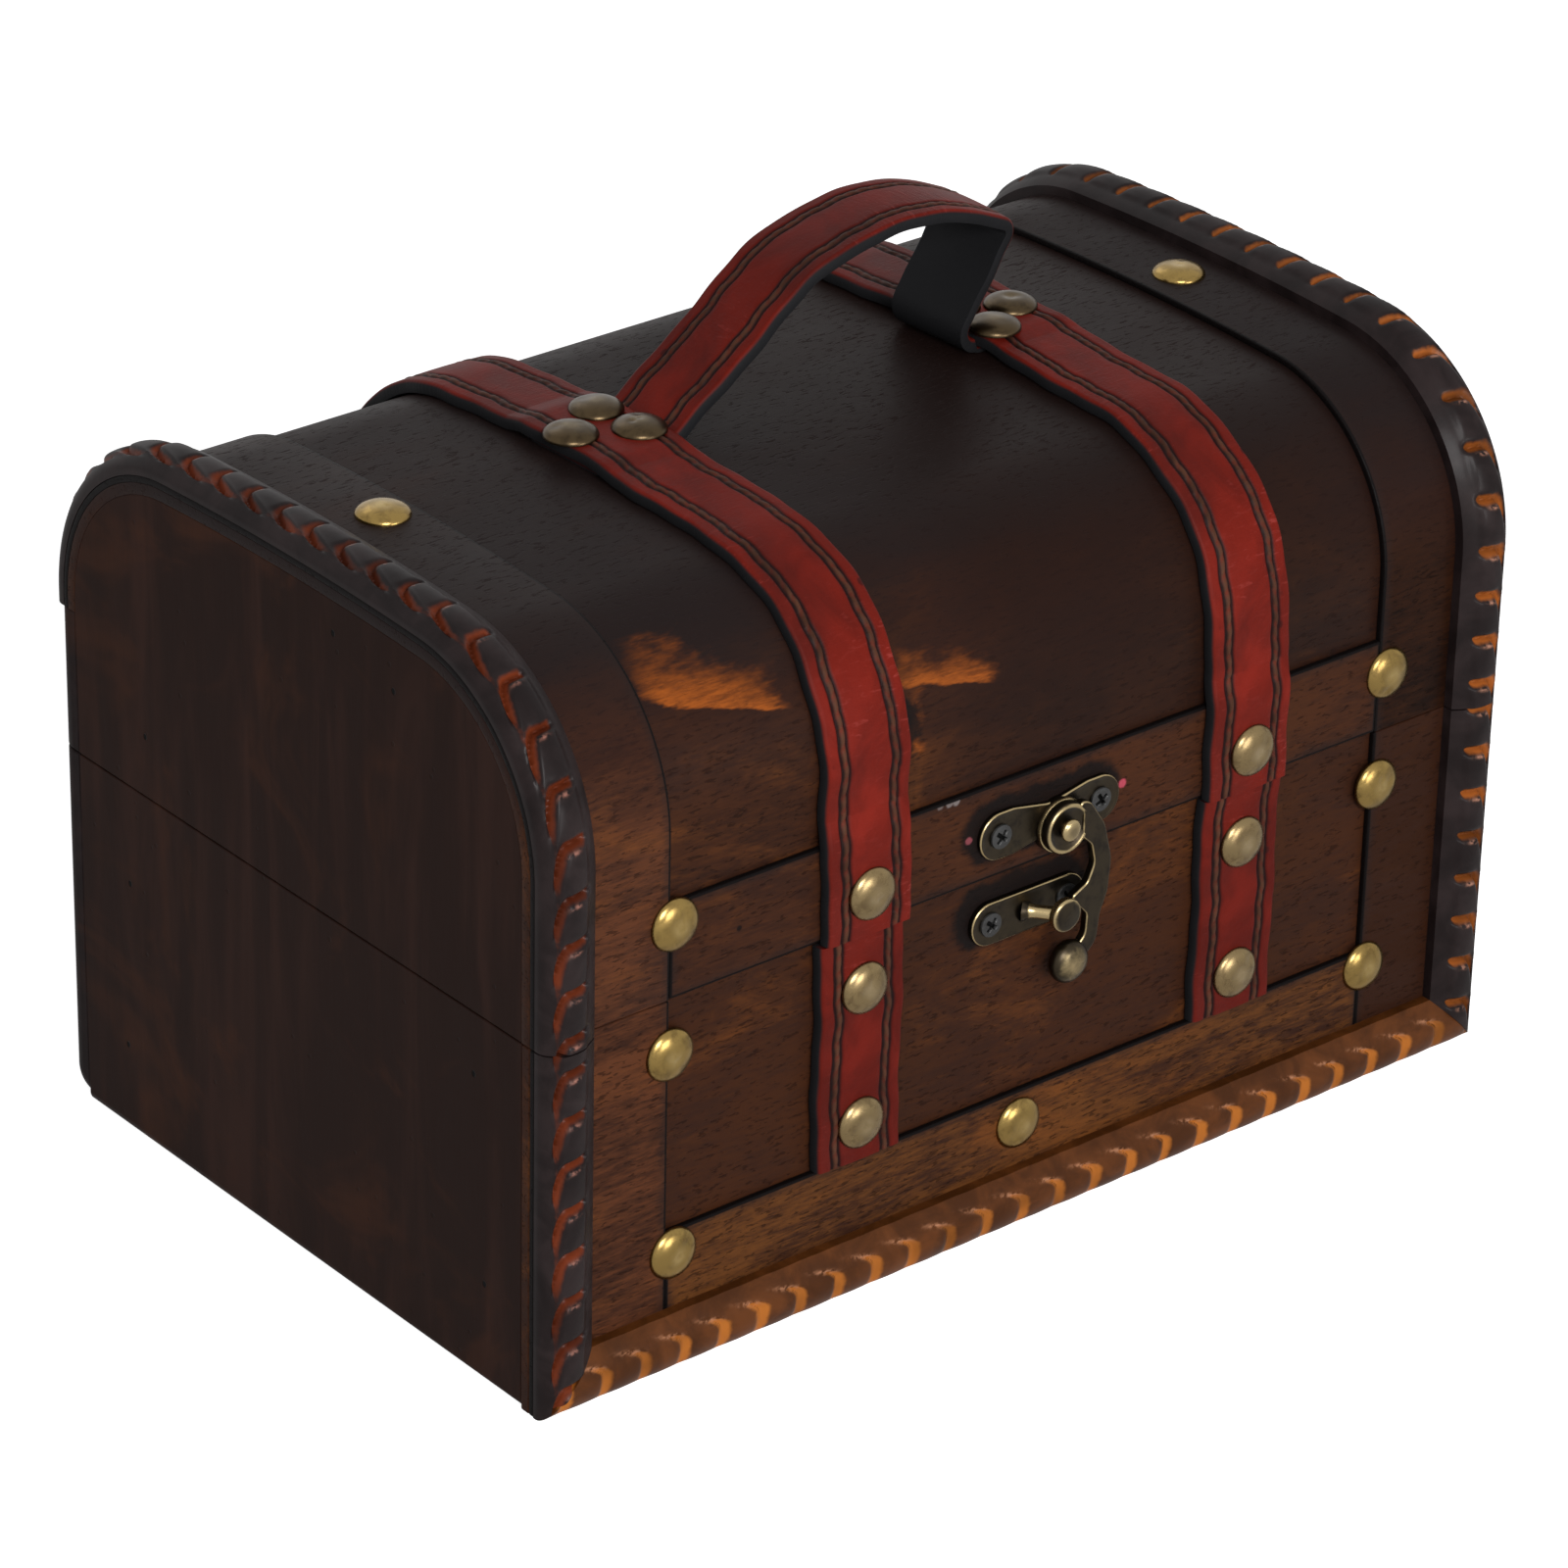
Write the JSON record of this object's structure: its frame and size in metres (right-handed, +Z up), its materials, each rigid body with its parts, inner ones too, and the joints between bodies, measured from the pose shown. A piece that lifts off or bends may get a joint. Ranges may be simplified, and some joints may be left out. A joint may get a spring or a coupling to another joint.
{
  "type": "treasure chest box",
  "caption": "Keepsake chest with an arched hinged lid, framed wooden front, lobed corner mouldings, leather straps and handle, and a swinging hook latch.",
  "frame": {"origin": "middle of the underside of the chest, halfway along and halfway deep", "axes": "+X along the chest to the right seen from the front, -Y out of the front with the latch, +Z up"},
  "size_m": [0.22, 0.1503, 0.1664],
  "materials": {
    "stained_wood": "semi gloss",
    "black_wood": "semi gloss",
    "red_leather": "satin",
    "brass": "satin",
    "aged_brass": "satin",
    "screw_steel": "satin"
  },
  "bodies": {
    "base": {"base_front_board": "stained_wood", "base_front_panel": "stained_wood", "base_back_board": "black_wood", "base_end_left": "black_wood", "base_end_right": "black_wood", "base_floor": "stained_wood", "base_stile_left": "stained_wood", "base_stile_right": "stained_wood", "base_rail": "stained_wood", "base_moulding_left": "black_wood", "base_moulding_right": "black_wood", "base_moulding_bottom": "stained_wood", "base_strap_left": "red_leather", "base_strap_right": "red_leather", "base_wood_nails": "brass", "base_strap_nails": "brass", "catch_plate": "aged_brass", "catch_screws": "screw_steel", "hinge_leaf_lower_left": "aged_brass", "hinge_leaf_lower_right": "aged_brass", "hinge_pin_left": "aged_brass", "hinge_pin_right": "aged_brass", "hinge_screws_lower": "screw_steel"},
    "lid": {"lid_front_board": "stained_wood", "lid_back_board": "black_wood", "lid_end_left": "black_wood", "lid_end_right": "black_wood", "lid_top_batten": "stained_wood", "lid_skin": "stained_wood", "lid_rail": "stained_wood", "lid_stile_left": "stained_wood", "lid_stile_right": "stained_wood", "lid_moulding_left": "black_wood", "lid_moulding_right": "black_wood", "lid_strap_left": "red_leather", "lid_strap_right": "red_leather", "handle": "red_leather", "lid_wood_nails": "brass", "lid_strap_nails": "brass", "handle_nails": "aged_brass", "latch_plate": "aged_brass", "latch_screws": "screw_steel", "latch_rivet": "aged_brass", "hinge_leaf_upper_left": "aged_brass", "hinge_leaf_upper_right": "aged_brass", "hinge_screws_upper": "screw_steel"},
    "hook": {"latch_hook": "aged_brass"}
  },
  "joints": [
    {"name": "lid_hinge", "type": "hinge", "parent": "base", "child": "lid", "pos_m": [0, 0.0738, 0.07185], "axis": [-1, 0, 0], "range_deg": [0, 105]},
    {"name": "latch_swing", "type": "hinge", "parent": "lid", "child": "hook", "pos_m": [0.0042, -0.0714, 0.0784], "axis": [0, -1, 0], "range_deg": [0, 100]}
  ]
}
